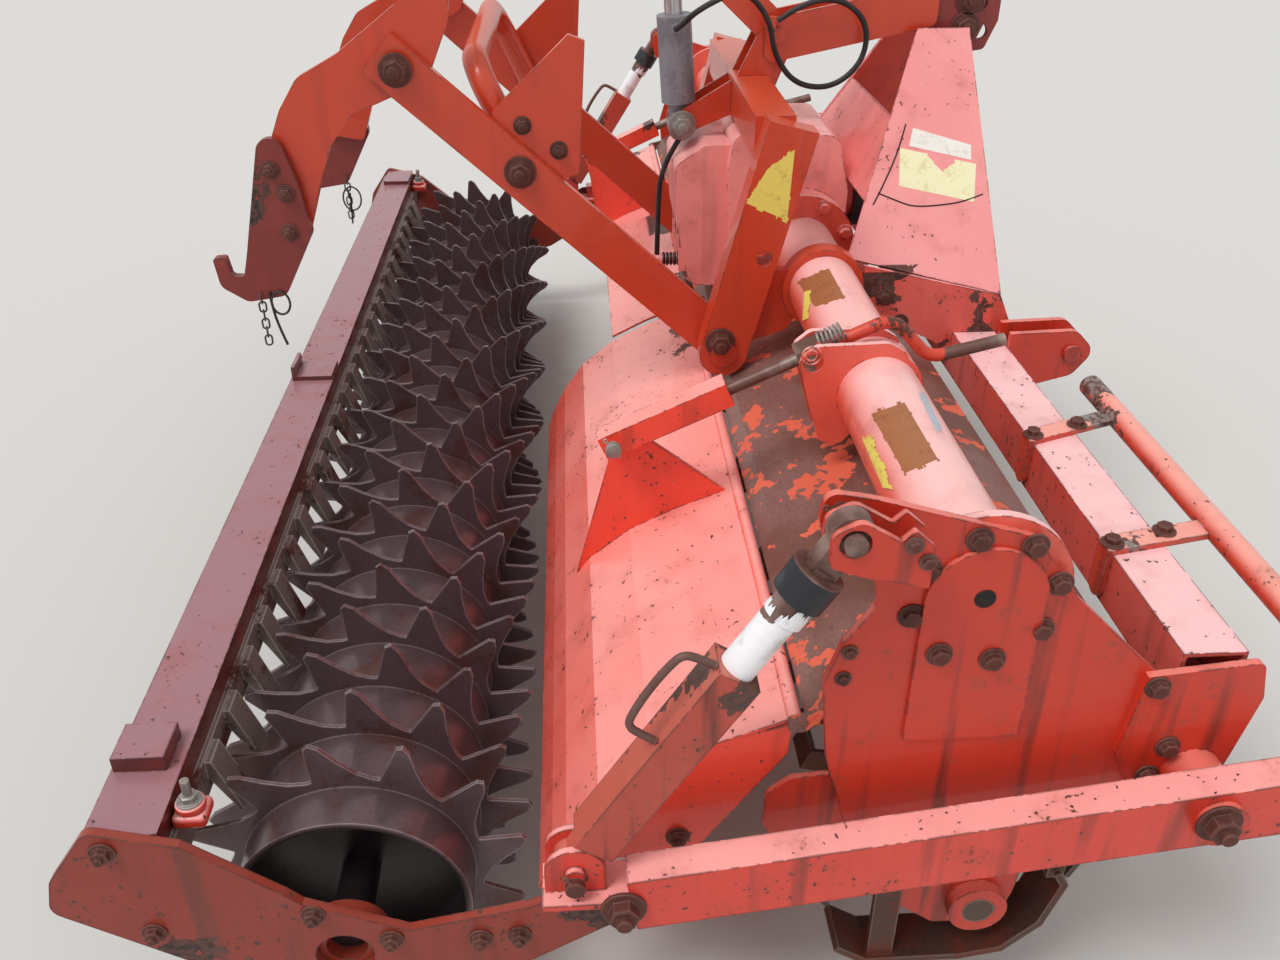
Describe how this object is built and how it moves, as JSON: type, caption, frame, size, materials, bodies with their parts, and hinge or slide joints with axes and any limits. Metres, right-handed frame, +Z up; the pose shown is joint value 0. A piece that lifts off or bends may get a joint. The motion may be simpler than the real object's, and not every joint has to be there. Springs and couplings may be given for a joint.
{
  "type": "rotavator",
  "caption": "Towed soil tiller with a bladed rotor under a hood, a toothed packer roller behind on a height-adjusted frame, and a rear lift linkage.",
  "frame": {"origin": "bottom centre of the bounding box, on the ground under the middle of the machine", "axes": "+X towards the machine's right-hand end, +Y forwards to the tractor, +Z up"},
  "size_m": [3.2246, 1.8132, 1.8731],
  "materials": {
    "old_red_paint": "worn, faded",
    "gear_case_paint": "worn",
    "worn_deck": "paint worn through, brown",
    "rail_paint": "worn",
    "new_orange_paint": "satin",
    "dark_red_paint": "weathered",
    "black_plastic": "matt",
    "worn_steel": "worn",
    "brown_steel": "dark, rusty film",
    "silver_paint": "dull silver",
    "black_hose": "matt",
    "chrome_rod": "polished"
  },
  "bodies": {
    "frame": {"side_plate_right": "old_red_paint", "side_plate_left": "old_red_paint", "front_bracket_right": "old_red_paint", "front_bracket_left": "old_red_paint", "cross_tube_right": "old_red_paint", "cross_tube_left": "old_red_paint", "skid_right": "old_red_paint", "skid_left": "old_red_paint", "front_beam": "old_red_paint", "lower_hitch_right": "old_red_paint", "lower_hitch_left": "old_red_paint", "headstock_leg_right": "old_red_paint", "headstock_leg_left": "old_red_paint", "headstock_top": "old_red_paint", "strut_clamp_right": "old_red_paint", "strut_clamp_left": "old_red_paint", "side_drive_case": "old_red_paint", "gearbox": "gear_case_paint", "hood_deck": "worn_deck", "guard_rail_right": "rail_paint", "guard_rail_left": "rail_paint", "lift_post_right": "new_orange_paint", "lift_post_left": "new_orange_paint", "lift_cross": "new_orange_paint", "shaft_guard": "black_plastic", "input_shaft": "worn_steel", "rotor_bearing": "brown_steel", "hose_loop": "black_hose", "hose_low": "black_hose"},
    "rotor": {"rotor": "worn_steel"},
    "roller": {"packer_roller": "brown_steel"},
    "roller_frame": {"roller_beam": "dark_red_paint", "roller_end_right": "old_red_paint", "roller_end_left": "old_red_paint", "roller_arm_right": "old_red_paint", "roller_arm_left": "old_red_paint", "roller_scrapers": "worn_steel"},
    "lift_arms": {"lift_arm_right": "new_orange_paint", "lift_arm_left": "new_orange_paint", "lift_cross_tube": "new_orange_paint"},
    "hitch_frame": {"gooseneck_right": "new_orange_paint", "gooseneck_left": "new_orange_paint", "lift_hook_right": "dark_red_paint", "lift_hook_left": "dark_red_paint", "lift_head": "new_orange_paint"},
    "upper_arm": {"lift_upper_arm": "new_orange_paint"},
    "cylinder_barrel": {"lift_cylinder": "silver_paint"},
    "cylinder_rod": {"lift_rod": "chrome_rod"},
    "spindle_tube_right": {"spindle_tube_right": "old_red_paint"},
    "spindle_rod_right": {"spindle_rod_right": "worn_steel"},
    "flap_right": {"rear_flap_right": "old_red_paint"},
    "strut_screw_right": {"strut_screw_right": "worn_steel"},
    "strut_tube_right": {"strut_tube_right": "old_red_paint"},
    "spindle_tube_left": {"spindle_tube_left": "old_red_paint"},
    "spindle_rod_left": {"spindle_rod_left": "worn_steel"},
    "flap_left": {"rear_flap_left": "old_red_paint"},
    "strut_screw_left": {"strut_screw_left": "worn_steel"},
    "strut_tube_left": {"strut_tube_left": "old_red_paint"}
  },
  "joints": [
    {"name": "rotor_spin", "type": "hinge", "parent": "frame", "child": "rotor", "pos_m": [0, 0.419, 0.252], "axis": [1, 0, 0], "continuous": true},
    {"name": "roller_lift", "type": "hinge", "parent": "frame", "child": "roller_frame", "pos_m": [0, 0.683, 0.52], "axis": [-1, 0, 0], "range_deg": [0, 6]},
    {"name": "roller_spin", "type": "hinge", "parent": "roller_frame", "child": "roller", "pos_m": [0, -0.525, 0.265], "axis": [1, 0, 0], "continuous": true},
    {"name": "spindle_turn_right", "type": "hinge", "parent": "roller_frame", "child": "spindle_tube_right", "pos_m": [1.55, -0.187, 0.445], "axis": [1, 0, 0], "range_deg": [0, 0.679]},
    {"name": "spindle_slide_right", "type": "slide", "parent": "spindle_tube_right", "child": "spindle_rod_right", "axis": [0, -0.5354, -0.8446], "range_m": [0, 0.07321]},
    {"name": "spindle_turn_left", "type": "hinge", "parent": "roller_frame", "child": "spindle_tube_left", "pos_m": [-1.55, -0.187, 0.445], "axis": [1, 0, 0], "range_deg": [0, 0.679]},
    {"name": "spindle_slide_left", "type": "slide", "parent": "spindle_tube_left", "child": "spindle_rod_left", "axis": [0, -0.5354, -0.8446], "range_m": [0, 0.07321]},
    {"name": "flap_right_hinge", "type": "hinge", "parent": "frame", "child": "flap_right", "pos_m": [0.89, 0.122, 0.612], "axis": [1, 0, 0], "range_deg": [0, 20]},
    {"name": "strut_turn_right", "type": "hinge", "parent": "frame", "child": "strut_screw_right", "pos_m": [0.89, 0.23, 0.893], "axis": [1, 0, 0], "range_deg": [0, 8.55]},
    {"name": "strut_slide_right", "type": "slide", "parent": "strut_screw_right", "child": "strut_tube_right", "axis": [0, -0.9081, -0.4187], "range_m": [0, 0.06754]},
    {"name": "flap_left_hinge", "type": "hinge", "parent": "frame", "child": "flap_left", "pos_m": [-0.89, 0.122, 0.612], "axis": [1, 0, 0], "range_deg": [0, 20]},
    {"name": "strut_turn_left", "type": "hinge", "parent": "frame", "child": "strut_screw_left", "pos_m": [-0.89, 0.23, 0.893], "axis": [1, 0, 0], "range_deg": [0, 8.55]},
    {"name": "strut_slide_left", "type": "slide", "parent": "strut_screw_left", "child": "strut_tube_left", "axis": [0, -0.9081, -0.4187], "range_m": [0, 0.06754]},
    {"name": "lift_pivot", "type": "hinge", "parent": "frame", "child": "lift_arms", "pos_m": [0, 0.142, 0.696], "axis": [1, 0, 0], "range_deg": [0, 24]},
    {"name": "hitch_pivot", "type": "hinge", "parent": "lift_arms", "child": "hitch_frame", "pos_m": [0, -0.485, 1.265], "axis": [1, 0, 0], "range_deg": [-24.01, 0]},
    {"name": "upper_arm_pivot", "type": "hinge", "parent": "frame", "child": "upper_arm", "pos_m": [0, 0.291, 1.258], "axis": [1, 0, 0], "range_deg": [0, 24.01]},
    {"name": "cylinder_pivot", "type": "hinge", "parent": "frame", "child": "cylinder_barrel", "pos_m": [0, 0.085, 1.056], "axis": [1, 0, 0], "range_deg": [0, 13.63]},
    {"name": "cylinder_stroke", "type": "slide", "parent": "cylinder_barrel", "child": "cylinder_rod", "axis": [0, 0.0721, -0.9974], "range_m": [0, 0.09905]}
  ],
  "couplings": [
    {"joint": "spindle_turn_right", "follows": "roller_lift", "ratio": 0.11155},
    {"joint": "spindle_slide_right", "follows": "roller_lift", "m_per_rad": 0.69814},
    {"joint": "spindle_turn_left", "follows": "roller_lift", "ratio": 0.11155},
    {"joint": "spindle_slide_left", "follows": "roller_lift", "m_per_rad": 0.69814},
    {"joint": "strut_turn_right", "follows": "flap_right_hinge", "ratio": 0.42722},
    {"joint": "strut_slide_right", "follows": "flap_right_hinge", "m_per_rad": 0.19329},
    {"joint": "strut_turn_left", "follows": "flap_left_hinge", "ratio": 0.42722},
    {"joint": "strut_slide_left", "follows": "flap_left_hinge", "m_per_rad": 0.19329},
    {"joint": "hitch_pivot", "follows": "lift_pivot", "ratio": -1},
    {"joint": "upper_arm_pivot", "follows": "lift_pivot", "ratio": 1},
    {"joint": "cylinder_pivot", "follows": "lift_pivot", "ratio": 0.56738},
    {"joint": "cylinder_stroke", "follows": "lift_pivot", "m_per_rad": 0.23623}
  ]
}
